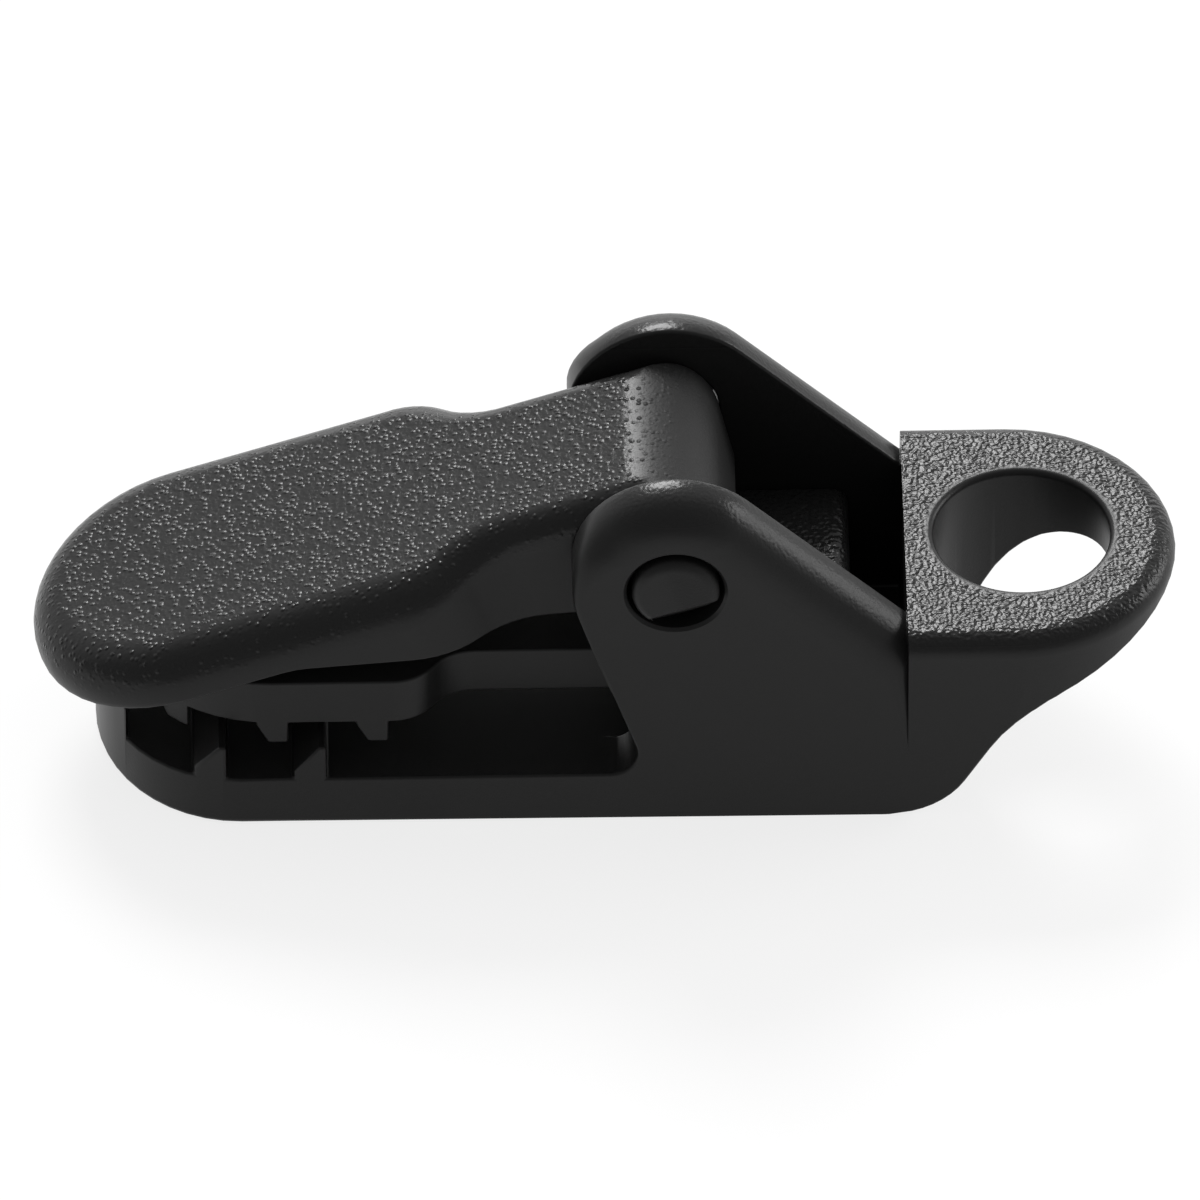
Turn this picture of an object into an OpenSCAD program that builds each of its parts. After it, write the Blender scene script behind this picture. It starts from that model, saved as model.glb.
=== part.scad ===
// Tarp clip: a moulded clamp with a thumb lever, a toothed jaw and a rope eye.
// X runs from the mouth to the rope eye, Y across, Z up from the flat base. Sizes are in millimetres.

/* [Body] */
// Length of the body, from the mouth to the rope end
body_length = 52.1; // [50:0.1:56]
// Width of the body
body_width = 16; // [15:0.1:18]
// Thickness of the lower jaw
floor_thickness = 2.9; // [2.6:0.1:3.1]
// Length of the round front of the lower jaw
mouth_round = 7; // [6:0.1:8]

/* [Ears] */
// Thickness of each ear
ear_thickness = 2.75; // [2.4:0.05:3]
// Radius of the ears round the pivot
ear_radius = 4.95; // [4.8:0.05:5.4]
// Rounding of the ears' outer top edge
ear_rounding = 2.25; // [0.6:0.05:2.4]
// Lean of the ears' front edge, from upright
ear_lean = 18; // [12:1:22]
// Slope of the ears' rear edge, from level
ear_slope = 44; // [40:1:46]
// Fillet where the ears' front edge meets the lower jaw
ear_foot = 1.3; // [0.4:0.1:1.8]

/* [Pivot] */
// Distance of the pivot from the rope end
pivot_from_end = 24.2; // [23.5:0.1:25]
// Height of the pivot above the base
pivot_height = 14.6; // [14.4:0.1:14.9]
// Diameter of the lever's pivot pins
pin_diameter = 4.2; // [3.6:0.1:4.6]
// Clearance round each pivot pin
pin_clearance = 0.25; // [0.05:0.01:0.3]
// Height of each pin's end above the ear's outer face
pin_stand = 0.35; // [0.1:0.05:0.5]
// Drop from the pivot to the pin's lead-in ramp
pin_ramp = 0.8; // [0.6:0.05:1.5]
// Rounding of each pin's end
pin_edge = 0.5; // [0.2:0.05:0.6]
// Chamfer round the mouth of each pivot hole
pivot_rim = 0.15; // [0.1:0.05:0.3]

/* [Rope eye] */
// Height of the rope eye's top face
eye_height = 11.1; // [10.8:0.1:11.6]
// Length of the rope eye block
eye_length = 13.05; // [12.5:0.05:13.5]
// Diameter of the rope hole
hole_diameter = 8.5; // [6:0.1:9.4]
// Distance of the rope hole from the rope end
hole_from_end = 7.4; // [7:0.1:7.8]
// Rounding of the rope hole's rim
hole_rim = 0.3; // [0.1:0.05:0.5]
// Rounding of the eye's top edge
eye_rounding = 1.1; // [0.4:0.1:1.4]
// Thickness of the eye at its tip
tip_thickness = 1.2; // [1:0.1:2]
// Slope under the eye's tip
tip_slope = 24; // [20:1:28]
// Slope at the back of the base
back_slope = 60; // [52:1:64]
// Distance of the base's back corner from the rope end
back_from_end = 11.5; // [11:0.1:12]
// Rounding of the base's back corner
back_rounding = 4.2; // [2:0.1:4.6]
// Radius of the sweep under the eye
sweep_radius = 8; // [4:0.1:9]

/* [Teeth] */
// Distance from one tooth to the next
tooth_pitch = 4.8; // [4.6:0.05:5]
// Thickness of a tooth at its root
tooth_thickness = 1.55; // [1.3:0.05:1.7]
// Height of a lower tooth
tooth_height = 2; // [1.6:0.1:2.2]
// Height of the upright part of a lower tooth's sloping side
tooth_shoulder = 0.5; // [0.2:0.05:0.8]
// Width of a lower tooth's tip
tooth_tip = 0.35; // [0.2:0.05:0.6]
// Height of an upper tooth
upper_tooth_height = 1.25; // [1:0.05:1.8]
// Height of the upright part of an upper tooth's sloping side
upper_tooth_shoulder = 0.15; // [0.1:0.05:0.5]
// Width of an upper tooth's tip
upper_tooth_tip = 1; // [0.5:0.05:1.2]
// Thickness of the first lower tooth, at the mouth
lip_thickness = 1.5; // [1.35:0.05:1.7]
// Clearance between an upper tooth and the lower tooth behind it
tooth_clearance = 0.24; // [0.15:0.01:0.4]

/* [Clamp jaw] */
// Inset of the jaw's edge from the body's edge
jaw_inset = 0.75; // [0.5:0.05:1.2]
// Distance of the jaw's front from the mouth
jaw_setback = 1.3; // [1:0.05:1.6]
// Thickness of the jaw
jaw_thickness = 2.6; // [2.4:0.05:2.7]
// Thickness of the jaw at its front edge, under the lever
jaw_nose = 0.53; // [0.4:0.01:0.7]
// Height of the mouth between the jaws
mouth_height = 2.95; // [2.85:0.05:3.1]
// Distance from the mouth to the jaw's shoulder
jaw_shoulder = 14.3; // [13.9:0.1:14.9]
// Length of the jaw's shoulder curve
jaw_taper = 4; // [3.6:0.1:4.6]
// Clearance between the jaw and each ear
jaw_clearance = 0.15; // [0.08:0.01:0.3]
// Gap between the jaw's tail and the rope eye block
tail_gap = 2.6; // [2.2:0.1:3]
// Rounding of the tail's corners
tail_rounding = 0.8; // [0.3:0.1:1.2]
// Distance of the heel bar from the jaw's tail
heel_inset = 2.4; // [2.2:0.1:2.8]
// Diameter of the jaw's heel bar
heel_diameter = 3; // [2.6:0.1:3.2]
// Clearance round the heel bar
heel_clearance = 0.1; // [0.05:0.01:0.15]
// Thickness of the leg that carries the heel bar
leg_thickness = 1.8; // [1.4:0.1:2]
// Depth of the heel bar's groove in the lower jaw
groove_depth = 0.9; // [0.7:0.05:1.1]
// Width of the lips that hold the heel bar
cradle_width = 6.5; // [5:0.1:8]
// Thickness of each lip
cradle_wall = 0.8; // [0.6:0.05:1]
// Height of the lips above the heel bar's axis
cradle_lip = 0.8; // [0.7:0.05:0.9]

/* [Lever] */
// Overhang of the lever past the mouth
lever_overhang = 2.9; // [1.5:0.1:4]
// Thickness of the lever's blade
lever_thickness = 2.55; // [2.45:0.05:2.7]
// Height of the lever's top face over the pivot
lever_rise = 3.95; // [3.85:0.05:4.1]
// Rounding of the lever's top edge
lever_rounding = 2.2; // [0.8:0.1:2.3]
// Rounding of the top edge along the lever's neck
neck_rounding = 1.5; // [0.6:0.1:2]
// Inset of the lever's edge from the body's edge
lever_inset = 0.45; // [0.2:0.05:0.8]
// Distance from the pivot to the lever's shoulder
lever_shoulder = 13.4; // [13:0.1:14]
// Length of the lever's shoulder curve
lever_taper = 6.4; // [5.8:0.1:7]
// Clearance between the lever's neck and each ear
lever_clearance = 0.2; // [0.1:0.01:0.4]
// Distance from the jaw's front edge to the bend under the lever
bend_distance = 9; // [8:0.1:10]
// Slope of the lever's underside behind the bend, from level
bend_slope = 5; // [4:0.2:6]
// Rounding of the hub's top
hub_rounding = 3.6; // [2.6:0.1:3.8]
// Distance of the hub's rear face from the pivot
hub_back = 2.4; // [2.35:0.05:2.7]
// Lean of the hub's rear face
hub_lean = 7; // [4:1:10]
// Radius of the cam under the hub
cam_radius = 4.5; // [4.4:0.05:4.6]
// Offset of the cam's centre in front of the pivot
cam_forward = 0.8; // [0.7:0.05:1]
// Offset of the cam's centre below the pivot
cam_drop = 0.5; // [0.4:0.05:0.6]
// Clearance between the closed lever and the jaw
lever_gap = 0.12; // [0.08:0.01:0.2]

/* [Hidden] */

$fn = 96;
black = "#2b2b2d";
arc_step = 7.5; // degrees between the points of a rounded corner
merge = 0.6; // how far joined solids run into each other
beyond = 5; // how far cutters and blanks run past the part
crisp = 0.2; // rounding of the edges that are nearly sharp

half_width = body_width / 2;
end_x = (body_length + lever_overhang) / 2;
mouth_x = end_x - body_length;
ear_inside = half_width - ear_thickness;
pivot_x = end_x - pivot_from_end;
bore_radius = pin_diameter / 2 + pin_clearance;
pivot_land = 0.2; // flat ring left round each pivot hole
ear_edge = min(ear_rounding, ear_radius - bore_radius - pivot_rim - pivot_land);
eye_x = end_x - eye_length;
hole_x = end_x - hole_from_end;

tooth_rows = 3;
lip_lead = 1; // how far the first lower tooth's slope would run past the mouth
lower_tooth_x = mouth_x + lip_thickness;
upper_tooth_x = lower_tooth_x + tooth_pitch - tooth_thickness - tooth_clearance;

jaw_low = floor_thickness + mouth_height;
jaw_top = jaw_low + jaw_thickness;
tail_x = eye_x - tail_gap;
pad_top = pivot_height - cam_radius - cam_drop - lever_gap;
tail_edge = min(tail_rounding, (pad_top - jaw_low) / 3);
pad_lead = 1.4; // how far the jaw's pad reaches in front of the cam
pad_ramp = 1; // length of the slope between the jaw's top and the pad
cam_over_jaw = pivot_height - cam_drop - jaw_top;
cam_bite = sqrt(max(0, cam_radius * cam_radius - cam_over_jaw * cam_over_jaw));
pad_x = pivot_x - cam_forward - cam_bite - pad_lead;

heel_radius = heel_diameter / 2;
groove_radius = heel_radius + heel_clearance;
heel_x = tail_x - heel_inset;
heel_z = floor_thickness - groove_depth + groove_radius;

lever_low = lever_rise - lever_thickness;
// The closed lever slopes down until its underside lies on the jaw's front edge.
nose_run = pivot_x - mouth_x - jaw_setback;
nose_drop = pivot_height - jaw_low - jaw_nose;
nose_reach = norm([nose_run, nose_drop]);
nose_rise = lever_low - lever_gap;
lever_slope = atan2(nose_drop, nose_run) + asin(nose_rise / nose_reach);
bend_u = bend_distance - sqrt(nose_reach * nose_reach - nose_rise * nose_rise);
bend_rounding = 5; // rounding of the bend under the lever
hub_core = cam_radius / 2; // how far the blade runs down into the cam
ramp_angle = 45; // slope of the ramp on each pin's end
// The tip's foremost point lies on the rounding of the top edge.
tip_edge = lever_rise - lever_rounding;
tip_reach = end_x + pivot_x - lever_rounding - tip_edge * sin(lever_slope);
tip_u = -tip_reach / cos(lever_slope) - lever_rounding;

function unit(v) = v / norm(v);
function flat(p) = [p[0], p[1]];
function polar(r, a) = r * [cos(a), sin(a)];
function bearing(v) = atan2(v[1], v[0]);
function shortest(a) = a > 180 ? a - 360 : a < -180 ? a + 360 : a;
function between(low, value, high) = max(low, min(value, high));

// Points of the arc that rounds one corner, which is given as [x, y, radius]
function corner(before, here, after) =
    let (
        to_before = unit(flat(before) - flat(here)),
        to_after = unit(flat(after) - flat(here)),
        r = here[2],
        half = acos(to_before * to_after) / 2,
        centre = flat(here) + unit(to_before + to_after) * r / sin(half),
        start = bearing(flat(here) + to_before * r / tan(half) - centre),
        stop = bearing(flat(here) + to_after * r / tan(half) - centre),
        sweep = shortest(stop - start),
        steps = ceil(abs(sweep) / arc_step)
    )
    [for (k = [0:steps]) centre + polar(r, start + sweep * k / steps)];

// Outline through corners of [x, y, radius], where a corner of [x, y] stays sharp
function rounded(corners) =
    let (n = len(corners))
    [for (i = [0:n - 1])
        each len(corners[i]) == 2
            ? [corners[i]]
            : corner(corners[(i + n - 1) % n], corners[i], corners[(i + 1) % n])];

// One side of a plate with a round front, a shoulder and a neck, as points of [x, y, normal x, normal y]
function necked_side(front, half, shoulder, taper, neck, rear) =
    let (
        drop = half - neck,
        r = (taper * taper + drop * drop) / (4 * drop),
        bend = asin(taper / (2 * r)),
        turns = ceil(90 / arc_step),
        bends = ceil(bend / arc_step)
    )
    concat(
        [for (k = [0.2, each [1:turns]]) let (n = polar(1, 180 - 90 * k / turns))
            [front + half + half * n[0], half * n[1], n[0], n[1]]],
        [for (k = [0:bends]) let (n = polar(1, 90 - bend * k / bends))
            [shoulder + r * n[0], half - r + r * n[1], n[0], n[1]]],
        [for (k = [1:bends]) let (n = polar(1, 90 - bend + bend * k / bends))
            [shoulder + taper - r * n[0], neck + r - r * n[1], n[0], n[1]]],
        [[rear, neck, 0, 1]]
    );

// The whole of such a plate, counterclockwise
function necked(side) =
    let (n = len(side))
    concat(
        [for (p = side) [p[0], -p[1], p[2], -p[3]]],
        [for (i = [n - 1:-1:0]) side[i]]
    );

// Loop inside an outline, with a point on the line from the centre to each point of the outline
function core_loop(outline, centre, r) = [for (p = outline) centre + r * unit(flat(p) - centre)];

// Slab on a counterclockwise outline of [x, y, normal x, normal y, rounding], with its top edge rounded.
// With a core loop it has a hole there.
// Without one, its flat faces are strips from one half of the outline to the other.
module soft_slab(outline, low, top, core = []) {
    n = len(outline);
    steps = 8;
    rings = concat(
        [[for (p = outline) [p[0], p[1], low]]],
        [for (k = [0:steps]) let (rise = polar(1, 90 * k / steps))
            [for (p = outline) let (inset = p[4] * (1 - rise[0]))
                [p[0] - p[2] * inset, p[1] - p[3] * inset, top - p[4] * (1 - rise[1])]]],
        len(core) == 0 ? [] : [for (z = [top, low]) [for (p = core) [p[0], p[1], z]]]
    );
    count = len(rings);
    last = n * (count - 1);
    walls = len(core) == 0 ? count - 1 : count;
    sides = [for (k = [0:walls - 1], i = [0:n - 1]) let (j = (i + 1) % n, next = (k + 1) % count)
        [n * k + i, n * next + i, n * next + j, n * k + j]];
    under = len(core) > 0 ? [] : [for (i = [0:n / 2 - 2]) [i, i + 1, n - 2 - i, n - 1 - i]];
    over = [for (s = under) [for (i = [3:-1:0]) last + s[i]]];
    polyhedron([for (ring = rings) each ring], concat(sides, under, over));
}

// Stands a drawing of X and Z upright, centred across the part
module across(depth) {
    rotate([90, 0, 0])
    linear_extrude(depth, center = true)
    children();
}

// Both of a left and right pair
module both_sides() {
    children();
    mirror([0, 1, 0])
    children();
}

// Plan of the lower jaw, with an oval front at the mouth
module jaw_plan() {
    turns = ceil(90 / arc_step);
    oval = [for (k = [-turns:turns]) let (n = polar(1, 180 - 90 * k / turns))
        [mouth_x + mouth_round + mouth_round * n[0], half_width * n[1]]];
    polygon(concat([[eye_x + merge, -half_width]], oval, [[eye_x + merge, half_width]]));
}

// One tooth that points up, with its upright face at x
module tooth(x, thickness, height, shoulder, tip) {
    polygon([
        [x, -merge],
        [x, height],
        [x - tip, height],
        [x - thickness, shoulder],
        [x - thickness, -merge]
    ]);
}

module lower_tooth(x, thickness) {
    tooth(x, thickness, tooth_height, tooth_shoulder, tooth_tip);
}

module lower_teeth() {
    intersection() {
        across(body_width + beyond)
        translate([0, floor_thickness]) {
            lower_tooth(lower_tooth_x, lip_thickness + lip_lead);
            for (i = [1:tooth_rows - 1])
                lower_tooth(lower_tooth_x + i * tooth_pitch, tooth_thickness);
        }
        linear_extrude(jaw_top) jaw_plan();
    }
}

// One ear, on the near side
module ear() {
    first = 90 - ear_slope;
    last = 180 + ear_lean;
    fade = 60; // degrees over which the rounding dies out down the front edge
    front_cut = 0.03; // depth of the straight cut along the front edge
    steps = ceil((last - first) / arc_step);
    root_z = floor_thickness / 2;
    rear_x = eye_x + merge;
    pivot = [pivot_x, pivot_height];
    front = pivot + polar(ear_radius, last);
    rear = pivot + polar(ear_radius, first);
    rear_z = rear[1] - (rear_x - rear[0]) * tan(ear_slope);
    root_x = front[0] + (front[1] - root_z) * tan(ear_lean);
    outline = concat(
        [[root_x - 2 * crisp, root_z, -1, 0, crisp]],
        [[rear_x, root_z, 1, 0, crisp]],
        [[rear_x, rear_z, each polar(1, first), ear_edge]],
        [for (k = [0:steps]) let (a = first + (last - first) * k / steps, n = polar(1, a))
            [each pivot + ear_radius * n, each n, between(crisp, ear_edge * (last - a) / fade, ear_edge)]]
    );
    foot = [root_x - (floor_thickness - root_z) * tan(ear_lean) + front_cut, floor_thickness];
    up_front = polar(1, 90 + ear_lean);

    // The front edge is cut straight, so that the rounding dies out towards the foot.
    difference() {
        rotate([90, 0, 0])
        soft_slab(outline, ear_inside, half_width, core_loop(outline, pivot, bore_radius / 2));
        across(body_width + beyond)
        polygon([for (p = [[0, -beyond], [0, pivot_height], [-beyond, pivot_height], [-beyond, -beyond]])
            foot + [p[0], 0] + p[1] * up_front]);
    }

    // Fillet at the foot of the front edge
    fillet = corner(foot - [beyond, 0], [each foot, ear_foot], foot + beyond * up_front);
    translate([0, -(ear_inside + half_width) / 2, 0])
    across(ear_thickness)
    polygon(concat([foot + [merge, -merge], [fillet[0][0], floor_thickness - merge]], fillet,
        [fillet[len(fillet) - 1] + [merge, 0]]));
}

// Rope eye block, before its hole and the sweep under it
module eye_block() {
    centre_x = end_x - half_width;
    steps = ceil(180 / arc_step);
    outline = concat(
        [[eye_x, -half_width, 0, -1, eye_rounding]],
        [for (k = [0:steps]) let (n = polar(1, 180 * k / steps - 90))
            [centre_x + half_width * n[0], half_width * n[1], n[0], n[1], eye_rounding]],
        [[eye_x, half_width, 0, 1, eye_rounding]]
    );
    soft_slab(outline, 0, eye_height, core_loop(outline, [hole_x, 0], hole_diameter / 4));
}

// Space under the rope eye
module eye_sweep() {
    back = [end_x - back_from_end, 0];
    tip = [end_x, eye_height - tip_thickness];
    run = (tip[1] - (tip[0] - back[0]) * tan(tip_slope)) / (tan(back_slope) - tan(tip_slope));
    waist = back + run * [1, tan(back_slope)];
    past = tip + beyond * [1, tan(tip_slope)];
    curve = concat(
        corner(back - [beyond, 0], [each back, back_rounding], waist),
        corner(back, [each waist, sweep_radius], tip)
    );
    across(body_width + beyond)
    polygon(concat([[curve[0][0], -beyond]], curve, [past, [past[0], -beyond]]));
}

module rope_hole() {
    r = hole_diameter / 2;
    translate([hole_x, 0, -beyond])
    cylinder(h = eye_height + 2 * beyond, r = r);
    translate([hole_x, 0, eye_height - hole_rim])
    rotate_extrude()
    difference() {
        square([r + hole_rim, hole_rim + merge]);
        translate([r + hole_rim, 0]) circle(hole_rim);
    }
}

module pivot_holes() {
    translate([pivot_x, 0, pivot_height])
    rotate([90, 0, 0])
    cylinder(h = body_width + beyond, r = bore_radius, center = true);
    both_sides()
    translate([pivot_x, -half_width - merge, pivot_height])
    rotate([-90, 0, 0])
    cylinder(h = pivot_rim + 2 * merge, r1 = bore_radius + pivot_rim + merge, r2 = bore_radius - merge);
}

// Lips on the floor that hold the jaw's heel bar
module cradle() {
    reach = groove_radius + cradle_wall;
    root_z = floor_thickness - merge;
    translate([heel_x - reach, -cradle_width / 2, root_z])
    cube([2 * reach, cradle_width, heel_z + cradle_lip - root_z]);
}

// Groove between the ears that the heel bar turns in
module heel_groove() {
    translate([heel_x, 0, heel_z])
    rotate([90, 0, 0])
    cylinder(h = 2 * ear_inside, r = groove_radius, center = true);
}

module body() {
    color(black)
    difference() {
        union() {
            linear_extrude(floor_thickness) jaw_plan();
            lower_teeth();
            eye_block();
            both_sides() ear();
            cradle();
        }
        eye_sweep();
        rope_hole();
        pivot_holes();
        heel_groove();
    }
}

// Side view of the toothed jaw, with the bevel that lies under the closed lever
module jaw_profile() {
    bevel_z = pivot_height + (lever_low - lever_gap) / cos(lever_slope);
    difference() {
        union() {
            polygon(rounded([
                [mouth_x, jaw_low],
                [tail_x, jaw_low, tail_edge],
                [tail_x, pad_top, tail_edge],
                [pad_x + pad_ramp, pad_top, tail_edge],
                [pad_x, jaw_top, tail_edge],
                [mouth_x, jaw_top]
            ]));
            for (i = [0:tooth_rows - 1])
                translate([0, jaw_low])
                mirror([0, 1])
                tooth(upper_tooth_x + i * tooth_pitch, tooth_thickness,
                    upper_tooth_height, upper_tooth_shoulder, upper_tooth_tip);
            translate([heel_x - leg_thickness / 2, heel_z])
            square([leg_thickness, jaw_low - heel_z + merge]);
        }
        translate([pivot_x, bevel_z])
        rotate(lever_slope)
        translate([-body_length, 0])
        square([body_length - beyond, body_width]);
    }
}

module clamp_jaw() {
    half = half_width - jaw_inset;
    shoulder = mouth_x + jaw_shoulder;
    neck = ear_inside - jaw_clearance;
    plan = necked(necked_side(mouth_x + jaw_setback, half, shoulder, jaw_taper, neck, tail_x));
    color(black)
    union() {
        intersection() {
            across(body_width) jaw_profile();
            linear_extrude(pad_top + beyond) polygon([for (p = plan) flat(p)]);
        }
        translate([heel_x, 0, heel_z])
        rotate([90, 0, 0])
        cylinder(h = 2 * neck, r = heel_radius, center = true);
    }
}

// Side view of the lever in its own frame: its pivot at the origin and its top face level
module lever_profile() {
    rear_face = hub_back / cos(hub_lean);
    neck_fall = (hub_core + bend_u) * tan(lever_slope - bend_slope);
    cam = [-cam_forward, -cam_drop];
    polygon(rounded([
        [tip_u - beyond, lever_low],
        [bend_u, lever_low, bend_rounding],
        [-hub_core, lever_low + neck_fall],
        [rear_face - hub_core * tan(hub_lean), -hub_core],
        [rear_face + lever_rise * tan(hub_lean), lever_rise, hub_rounding],
        [tip_u - beyond, lever_rise]
    ]));
    // The cam shows below the hub's round back alone.
    intersection() {
        rotate(-lever_slope)
        translate(cam)
        circle(cam_radius);
        rotate(-hub_lean)
        translate([hub_back - 2 * body_width, -body_width])
        square(2 * body_width);
        translate([-body_width, -body_width - hub_core / 2])
        square([2 * body_width, body_width]);
    }
}

// One pivot pin with the ramp on its end that springs the ear open
module pin(end) {
    r = pin_diameter / 2;
    rotate([90, 0, 0])
    difference() {
        rotate_extrude() polygon(rounded([[0, 0], [r, 0], [r, end, pin_edge], [0, end]]));
        translate([-beyond, -pin_ramp, end])
        rotate([-ramp_angle, 0, 0])
        translate([0, -2 * beyond, -2 * beyond])
        cube(2 * beyond);
    }
}

module cam_lever() {
    half = half_width - lever_inset;
    neck = ear_inside - lever_clearance;
    side = necked_side(tip_u, half, -lever_shoulder, lever_taper, neck, body_width);
    outline = [for (p = necked(side)) let (t = between(0, (p[0] + lever_shoulder) / lever_taper, 1))
        [each p, lever_rounding + (neck_rounding - lever_rounding) * t]];
    color(black)
    translate([pivot_x, 0, pivot_height])
    rotate([0, -lever_slope, 0])
    union() {
        intersection() {
            soft_slab(outline, -body_width, lever_rise);
            across(body_width) lever_profile();
        }
        both_sides() pin(half_width + pin_stand);
    }
}

body();
clamp_jaw();
cam_lever();
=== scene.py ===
import math

import bmesh
import bpy
from mathutils import Matrix, Vector


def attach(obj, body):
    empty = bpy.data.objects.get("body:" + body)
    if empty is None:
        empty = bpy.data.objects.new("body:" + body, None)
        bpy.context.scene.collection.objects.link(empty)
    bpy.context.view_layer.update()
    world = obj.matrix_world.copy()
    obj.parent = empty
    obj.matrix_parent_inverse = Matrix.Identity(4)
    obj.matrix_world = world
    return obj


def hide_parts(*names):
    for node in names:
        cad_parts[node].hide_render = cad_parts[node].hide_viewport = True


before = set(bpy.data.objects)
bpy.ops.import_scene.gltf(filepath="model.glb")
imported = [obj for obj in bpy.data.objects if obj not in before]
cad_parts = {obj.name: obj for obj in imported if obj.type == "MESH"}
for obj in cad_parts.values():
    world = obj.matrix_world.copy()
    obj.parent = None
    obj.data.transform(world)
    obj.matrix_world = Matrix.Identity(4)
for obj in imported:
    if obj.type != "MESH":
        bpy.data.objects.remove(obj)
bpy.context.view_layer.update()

# Body: one black nylon moulding with the toothed lower jaw, the two ears and the rope eye.
# It leaves the mould with softened edges. The eye's top carries the mould's spark grain, the ears' crowns
# and rear slopes a faint trace of it, and the sides are plain satin.
MM = 0.001
BASE_Z = 0.01 * MM
BASE_ROUND = 0.35 * MM
BODY_ROUND = 0.16 * MM
JAW_Z = 2.9 * MM
EAR_FRONT_X = 1 * MM
EAR_FRONT_Y = 7.5 * MM
EAR_FRONT_Z = 7.5 * MM
EYE_X = 14.45 * MM
EYE_SEAM_X = 0.3 * MM
EYE_SEAM_Y = 7 * MM


def moulded_copy(node, name):
    """A copy of a CAD node with its loose triangles merged into one clean skin."""
    weld = 0.02 * MM
    bpy.ops.object.select_all(action="DESELECT")
    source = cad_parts[node]
    source.select_set(True)
    bpy.context.view_layer.objects.active = source
    bpy.ops.object.duplicate()
    piece = bpy.context.view_layer.objects.active
    piece.name = name
    piece.data.name = name
    for key in [k for k in piece.keys() if k.startswith("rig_")]:
        del piece[key]
    piece.data.materials.clear()
    bpy.ops.object.mode_set(mode="EDIT")
    bpy.ops.mesh.select_all(action="SELECT")
    bpy.ops.mesh.customdata_custom_splitnormals_clear()
    bpy.ops.mesh.remove_doubles(threshold=weld)
    bpy.ops.mesh.dissolve_degenerate(threshold=weld)
    bpy.ops.mesh.dissolve_limited(angle_limit=math.radians(0.6))
    bpy.ops.object.mode_set(mode="OBJECT")
    return piece


def soften(piece, width, wanted=lambda middle: True):
    """Rounds a moulding's sharp edges whose middle point is wanted."""
    sliver = 0.004 * MM
    bpy.ops.object.mode_set(mode="EDIT")
    bpy.ops.mesh.select_mode(type="EDGE")
    bpy.ops.mesh.select_all(action="DESELECT")
    bpy.ops.mesh.edges_select_sharp(sharpness=math.radians(52))
    skin = bmesh.from_edit_mesh(piece.data)
    for edge in skin.edges:
        if edge.select and not wanted((edge.verts[0].co + edge.verts[1].co) / 2):
            edge.select_set(False)
    bmesh.update_edit_mesh(piece.data)
    bpy.ops.mesh.bevel(offset=width, segments=3, affect="EDGES", clamp_overlap=False)
    bpy.ops.mesh.select_all(action="SELECT")
    bpy.ops.mesh.dissolve_degenerate(threshold=sliver)
    bpy.ops.object.mode_set(mode="OBJECT")


def polish(piece):
    """Shades a moulding smooth, with its flat faces flat up to their rounded edges."""
    bpy.ops.object.shade_smooth_by_angle(angle=math.radians(32))
    piece.modifiers.new("flat faces", "WEIGHTED_NORMAL").keep_sharp = True
    bpy.ops.object.modifier_apply(modifier="flat faces")


def clear_of_seams(middle):
    """False where the ears run into the eye, and on the ears' front edge where its own rounding starts."""
    side = abs(middle.y)
    at_eye = abs(middle.x - EYE_X) < EYE_SEAM_X and side > EYE_SEAM_Y and middle.z > JAW_Z
    at_front = middle.x < EAR_FRONT_X and side > EAR_FRONT_Y and middle.z > EAR_FRONT_Z
    return not at_eye and not at_front


body = moulded_copy("body", "clip_body")
soften(body, BASE_ROUND, lambda middle: middle.z < BASE_Z)
soften(body, BODY_ROUND, clear_of_seams)
polish(body)


def ramp(tree, value, low, high, most=1.0, least=0.0, shape="SMOOTHSTEP"):
    """A value that is the least up to low and the most from high on."""
    node = tree.nodes.new("ShaderNodeMapRange")
    node.interpolation_type = shape
    node.inputs["From Min"].default_value = low
    node.inputs["From Max"].default_value = high
    node.inputs["To Min"].default_value = least
    node.inputs["To Max"].default_value = most
    tree.links.new(value, node.inputs["Value"])
    return node.outputs["Result"]


def both(tree, first, second, operation):
    """Two values joined by one operation. The second may be a plain number."""
    node = tree.nodes.new("ShaderNodeMath")
    node.operation = operation
    tree.links.new(first, node.inputs[0])
    if isinstance(second, float):
        node.inputs[1].default_value = second
    else:
        tree.links.new(second, node.inputs[1])
    return node.outputs[0]


def split(tree, vector):
    """A vector's X, Y and Z."""
    node = tree.nodes.new("ShaderNodeSeparateXYZ")
    tree.links.new(vector, node.inputs["Vector"])
    return node.outputs


# The mould's spark grain, for all three pieces: ridges or uneven dots where Cover is 1, over a fine matt skin.
# A polished mould face, where Polish is 1, leaves the nylon sleeker.
DOT_REACH = 0.52
DOT_HEIGHT = 0.3
LOWEST_DOT, HIGHEST_DOT = 0.25, 2.3
SKIN_PER_METRE = 9000.0
SATIN, SLEEK = 0.30, 0.14
grain = bpy.data.node_groups.new("spark grain", "ShaderNodeTree")
grain.interface.new_socket("Place", in_out="INPUT", socket_type="NodeSocketVector")
for value in ("Cells per metre", "Dots per metre", "Dotted", "Cover", "Polish", "Skin"):
    grain.interface.new_socket(value, in_out="INPUT", socket_type="NodeSocketFloat")
for value in ("Height", "Roughness"):
    grain.interface.new_socket(value, in_out="OUTPUT", socket_type="NodeSocketFloat")
given = grain.nodes.new("NodeGroupInput").outputs
result = grain.nodes.new("NodeGroupOutput").inputs
bumps = grain.nodes.new("ShaderNodeTexNoise")
bumps.inputs["Detail"].default_value = 0.5
bumps.inputs["Roughness"].default_value = 0.5
grain.links.new(given["Place"], bumps.inputs["Vector"])
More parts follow.
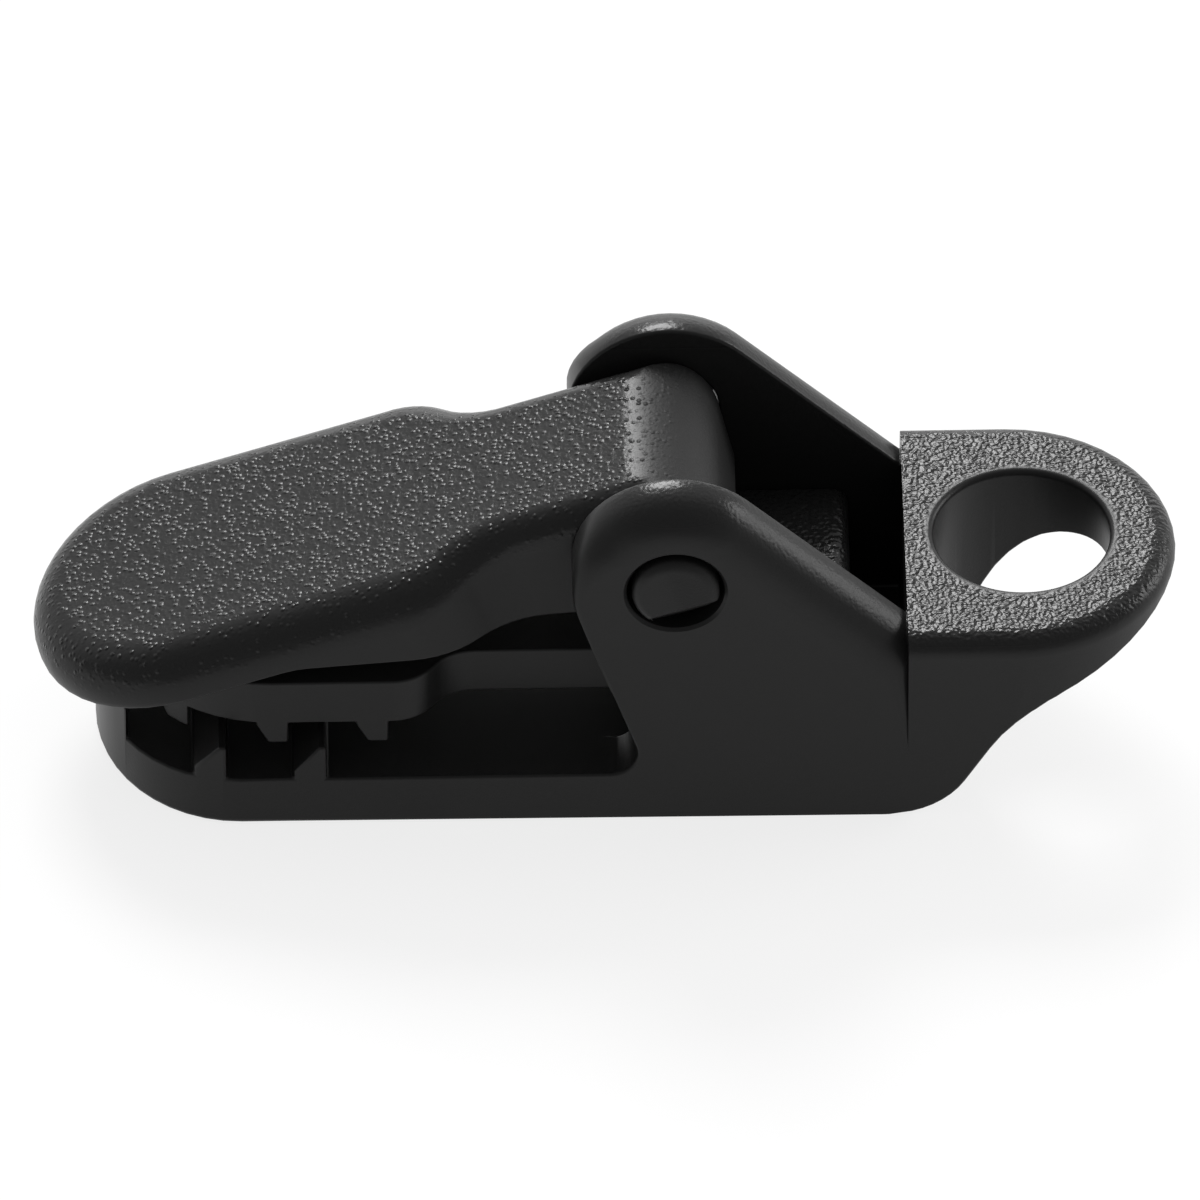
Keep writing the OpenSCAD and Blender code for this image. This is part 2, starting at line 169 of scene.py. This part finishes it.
grain.links.new(given["Cells per metre"], bumps.inputs["Scale"])
ridges = both(grain, bumps.outputs["Fac"], 0.5, "SUBTRACT")
cells = grain.nodes.new("ShaderNodeTexVoronoi")
grain.links.new(given["Place"], cells.inputs["Vector"])
grain.links.new(given["Dots per metre"], cells.inputs["Scale"])
even_dots = ramp(grain, cells.outputs["Distance"], DOT_REACH, 0.0, DOT_HEIGHT)
chance = grain.nodes.new("ShaderNodeSeparateColor")
grain.links.new(cells.outputs["Color"], chance.inputs["Color"])
uneven = ramp(grain, chance.outputs["Red"], 0.0, 1.0, HIGHEST_DOT, LOWEST_DOT, "LINEAR")
dots = both(grain, even_dots, uneven, "MULTIPLY")
pattern = grain.nodes.new("ShaderNodeMix")
grain.links.new(given["Dotted"], pattern.inputs["Factor"])
grain.links.new(ridges, pattern.inputs["A"])
grain.links.new(dots, pattern.inputs["B"])
covered = both(grain, pattern.outputs["Result"], given["Cover"], "MULTIPLY")
skin = grain.nodes.new("ShaderNodeTexNoise")
skin.inputs["Scale"].default_value = SKIN_PER_METRE
skin.inputs["Detail"].default_value = 3.0
grain.links.new(given["Place"], skin.inputs["Vector"])
fine = both(grain, skin.outputs["Fac"], given["Skin"], "MULTIPLY")
grain.links.new(both(grain, fine, covered, "ADD"), result["Height"])
gloss = ramp(grain, given["Polish"], 0.0, 1.0, SLEEK, SATIN, "LINEAR")
grain.links.new(both(grain, gloss, given["Skin"], "ADD"), result["Roughness"])


def black_nylon(name, dotted, cells_per_metre):
    """Black nylon with its grain in dots (1) or in ridges (0), and Cover and Polish left to the piece."""
    material = bpy.data.materials.new(name)
    material.use_nodes = True
    nodes, links = material.node_tree.nodes, material.node_tree.links
    shader = nodes["Principled BSDF"]
    shader.inputs["Base Color"].default_value = (0.014, 0.014, 0.014, 1)
    shader.inputs["Specular IOR Level"].default_value = 0.18
    place = nodes.new("ShaderNodeTexCoord")
    texture = nodes.new("ShaderNodeGroup")
    texture.node_tree = grain
    texture.inputs["Cells per metre"].default_value = cells_per_metre
    texture.inputs["Dots per metre"].default_value = 3300.0
    texture.inputs["Dotted"].default_value = dotted
    texture.inputs["Skin"].default_value = 0.06
    bump = nodes.new("ShaderNodeBump")
    bump.inputs["Strength"].default_value = 1.0
    bump.inputs["Distance"].default_value = 0.09 * MM
    links.new(place.outputs["Object"], texture.inputs["Place"])
    links.new(texture.outputs["Height"], bump.inputs["Height"])
    links.new(texture.outputs["Roughness"], shader.inputs["Roughness"])
    links.new(bump.outputs["Normal"], shader.inputs["Normal"])
    return material, material.node_tree, place.outputs["Object"], texture.inputs


# Where the body is grained. Each pair of heights or reaches is where the grain starts and where it is full.
EYE_GRAIN_Z = 10.3 * MM, 11.0 * MM
HOLE_X = 20.1 * MM
RIM_GRAIN = 4.45 * MM, 4.85 * MM
CROWN_Z = 17.8 * MM, 18.9 * MM
CROWN_GRAIN, CROWN_POLISH = 0.25, 0.8
EAR_FALL = 0.966
SLOPE_REACH = 23.47 * MM, 24.47 * MM
SLOPE_GRAIN = 0.25
EYE_STEP = EYE_X - 0.1 * MM
body_nylon, tree, place, texture = black_nylon("black nylon body", 0.25, 5200.0)
axes = split(tree, place)
flat = tree.nodes.new("ShaderNodeCombineXYZ")
tree.links.new(axes["X"], flat.inputs["X"])
tree.links.new(axes["Y"], flat.inputs["Y"])
from_hole = tree.nodes.new("ShaderNodeVectorMath")
from_hole.operation = "DISTANCE"
from_hole.inputs[1].default_value = (HOLE_X, 0, 0)
tree.links.new(flat.outputs["Vector"], from_hole.inputs[0])
off_rim = ramp(tree, from_hole.outputs["Value"], *RIM_GRAIN)
behind_ears = ramp(tree, axes["X"], EYE_STEP, EYE_X)
on_eye = both(tree, ramp(tree, axes["Z"], *EYE_GRAIN_Z), behind_ears, "MULTIPLY")
on_eye = both(tree, on_eye, off_rim, "MULTIPLY")
faint_crown = ramp(tree, axes["Z"], *CROWN_Z, CROWN_GRAIN)
sleek_crown = ramp(tree, axes["Z"], *CROWN_Z, CROWN_POLISH)
along_slope = both(tree, both(tree, axes["X"], EAR_FALL, "MULTIPLY"), axes["Z"], "ADD")
before_eye = ramp(tree, axes["X"], EYE_X, EYE_STEP)
on_slope = both(tree, ramp(tree, along_slope, *SLOPE_REACH, SLOPE_GRAIN), before_eye, "MULTIPLY")
on_ears = both(tree, faint_crown, on_slope, "MAXIMUM")
tree.links.new(both(tree, on_eye, on_ears, "MAXIMUM"), texture["Cover"])
tree.links.new(both(tree, on_eye, sleek_crown, "MAXIMUM"), texture["Polish"])
body.data.materials.append(body_nylon)
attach(body, "body")
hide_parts("body")

# Clamp jaw: the loose upper jaw, moulded in the same nylon. Its heel bar snaps into the lips on the body's floor,
# and the lever's cam bears on its pad. Only its tail, behind the lever's hub, carries the grain, as ridges.
JAW_ROUND = 0.14 * MM
TAIL_GRAIN_Z = 8.9 * MM, 9.4 * MM
jaw = moulded_copy("clamp_jaw", "clip_jaw")
soften(jaw, JAW_ROUND)
polish(jaw)
jaw_nylon, tree, place, texture = black_nylon("black nylon jaw", 0.0, 4000.0)
on_tail = ramp(tree, split(tree, place)["Z"], *TAIL_GRAIN_Z)
tree.links.new(on_tail, texture["Cover"])
tree.links.new(on_tail, texture["Polish"])
jaw.data.materials.append(jaw_nylon)
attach(jaw, "clamp_jaw")
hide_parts("clamp_jaw")

# Cam lever: the thumb lever, moulded in one piece with its cam and the two pivot pins that spring into the ears.
# Its whole top face has a dotted grain for grip, which dies out on the rounding along its edge and on the hub.
# The hub itself is matt.
PIVOT = Vector((3.3 * MM, 0, 14.6 * MM))
LEVER_SLOPE = 19.81
LEVER_ROUND = 0.15 * MM
HUB_MIDDLE = 3.4 * MM
TOP_GRAIN_Z = 1.95 * MM, 3.55 * MM
HUB_GRAIN_X = 3.0 * MM, 0.6 * MM
HUB_SKIN_X = -1.0 * MM, 0.6 * MM
HUB_SKIN, BLADE_SKIN = 0.24, 0.06
BLADE_POLISH_X = 0.8 * MM, -2.0 * MM
lever = moulded_copy("cam_lever", "clip_lever")
bpy.ops.object.mode_set(mode="EDIT")
for side in (-1, 1):
    bpy.ops.mesh.select_all(action="SELECT")
    bpy.ops.mesh.bisect(plane_co=(0, side * HUB_MIDDLE, 0), plane_no=(0, 1, 0))
bpy.ops.object.mode_set(mode="OBJECT")
soften(lever, LEVER_ROUND)
polish(lever)
lever_nylon, tree, place, texture = black_nylon("black nylon lever", 0.85, 4000.0)
levelled = tree.nodes.new("ShaderNodeMapping")
levelled.vector_type = "TEXTURE"
levelled.inputs["Location"].default_value = PIVOT
levelled.inputs["Rotation"].default_value = (0, math.radians(-LEVER_SLOPE), 0)
tree.links.new(place, levelled.inputs["Vector"])
axes = split(tree, levelled.outputs["Vector"])
on_top = ramp(tree, axes["Z"], *TOP_GRAIN_Z)
before_hub = ramp(tree, axes["X"], *HUB_GRAIN_X)
on_blade = ramp(tree, axes["X"], *BLADE_POLISH_X)
tree.links.new(both(tree, on_top, before_hub, "MULTIPLY"), texture["Cover"])
tree.links.new(ramp(tree, axes["X"], *HUB_SKIN_X, HUB_SKIN, BLADE_SKIN), texture["Skin"])
tree.links.new(both(tree, on_top, on_blade, "MULTIPLY"), texture["Polish"])
lever.data.materials.append(lever_nylon)
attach(lever, "cam_lever")
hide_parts("cam_lever")

# Floor: the pale sweep that the clip lies on, plain and matt. It stands for no piece of the clip.
# The camera sees it as white, with the clip's soft shadow on it. It lies just clear of the clip's base.
FLOOR_DROP = 0.02 * MM
WHITE_SHARE = 0.8
bpy.ops.object.select_all(action="DESELECT")
bpy.ops.mesh.primitive_plane_add(size=4, location=(0, 0, -FLOOR_DROP))
floor = bpy.context.view_layer.objects.active
floor.name = "floor"
paper = bpy.data.materials.new("white paper")
paper.use_nodes = True
tree = paper.node_tree
matt = tree.nodes["Principled BSDF"]
matt.inputs["Base Color"].default_value = (0.9, 0.9, 0.9, 1)
matt.inputs["Roughness"].default_value = 0.9
matt.inputs["Specular IOR Level"].default_value = 0.0
glow = tree.nodes.new("ShaderNodeEmission")
seen = tree.nodes.new("ShaderNodeLightPath").outputs
mixed = tree.nodes.new("ShaderNodeMixShader")
viewed = both(tree, seen["Is Camera Ray"], seen["Is Glossy Ray"], "MAXIMUM")
viewed = both(tree, viewed, seen["Is Transmission Ray"], "MAXIMUM")
tree.links.new(both(tree, viewed, WHITE_SHARE, "MULTIPLY"), mixed.inputs["Fac"])
tree.links.new(matt.outputs[0], mixed.inputs[1])
tree.links.new(glow.outputs[0], mixed.inputs[2])
tree.links.new(mixed.outputs[0], tree.nodes["Material Output"].inputs["Surface"])
floor.data.materials.append(paper)

# Studio: a softbox behind the clip, which the grained top faces mirror, and a weaker one on the right.
# The room is brighter behind, most of all straight behind at the floor's level, and the camera's side stays dim,
# so that the rounded near edges show as dark bands.
ROOM_Y = -0.2, 0.5
ROOM_BRIGHT, ROOM_DIM = 1.0, 0.3
SWEEP_Y = 0.78, 0.97
SWEEP_BRIGHT = 1.2
world = bpy.data.worlds.new("studio")
world.use_nodes = True
tree = world.node_tree
toward = tree.nodes.new("ShaderNodeTexCoord")
axes = split(tree, toward.outputs["Generated"])
room = ramp(tree, axes["Y"], *ROOM_Y, ROOM_BRIGHT, ROOM_DIM)
sweep = ramp(tree, axes["Y"], *SWEEP_Y, SWEEP_BRIGHT)
background = tree.nodes["Background"]
tree.links.new(both(tree, room, sweep, "ADD"), background.inputs["Strength"])
background.inputs["Color"].default_value = (1, 1, 1, 1)
bpy.context.scene.world = world


def softbox(name, direction, width, depth, power):
    """An area lamp that faces the clip from a direction, 2.5 m away."""
    bpy.ops.object.light_add(type="AREA")
    lamp = bpy.context.view_layer.objects.active
    lamp.name = name
    lamp.data.shape = "RECTANGLE"
    lamp.data.size = width
    lamp.data.size_y = depth
    lamp.data.energy = power
    lamp.visible_camera = False
    away = Vector(direction).normalized()
    facing = away.to_track_quat("Z", "Y").to_matrix().to_4x4()
    lamp.matrix_world = Matrix.Translation(away * 2.5) @ facing


softbox("back softbox", (-0.13, 0.74, 0.66), width=1.0, depth=0.84, power=60.0)
softbox("right softbox", (0.9, 0.3, 0.32), width=1.2, depth=1.2, power=26.0)

# Camera: a long lens 42 degrees above level, square on to the clip's side, so that its frame is 58 mm wide.
# The frame's origin mark is the point of the picture, in pixels, at which the clip's own origin shows.
AZIMUTH, ELEVATION, ROLL = -0.9, 42.2, 0.25
FRAME_PX = 1200
PIXEL = 0.04837 * MM
ORIGIN_PX = 604.5, 707
LENS, SENSOR = 750.0, 36.0
az, el, roll = (math.radians(v) for v in (AZIMUTH, ELEVATION, ROLL))
right = Vector((math.cos(az), math.sin(az), 0))
back = Vector((math.sin(az) * math.cos(el), -math.cos(az) * math.cos(el), math.sin(el)))
up = back.cross(right)
right, up = right * math.cos(roll) - up * math.sin(roll), right * math.sin(roll) + up * math.cos(roll)
middle_px = FRAME_PX / 2
target = (right * (middle_px - ORIGIN_PX[0]) + up * (ORIGIN_PX[1] - middle_px)) * PIXEL
distance = FRAME_PX * PIXEL * LENS / SENSOR
bpy.ops.object.camera_add()
camera = bpy.context.view_layer.objects.active
camera.name = "camera"
camera.data.lens = LENS
camera.data.sensor_width = SENSOR
camera.data.clip_end = 20
turn = Matrix((right, up, back)).transposed().to_4x4()
camera.matrix_world = Matrix.Translation(target + back * distance) @ turn
bpy.context.scene.camera = camera
bpy.context.scene.view_settings.view_transform = "Standard"
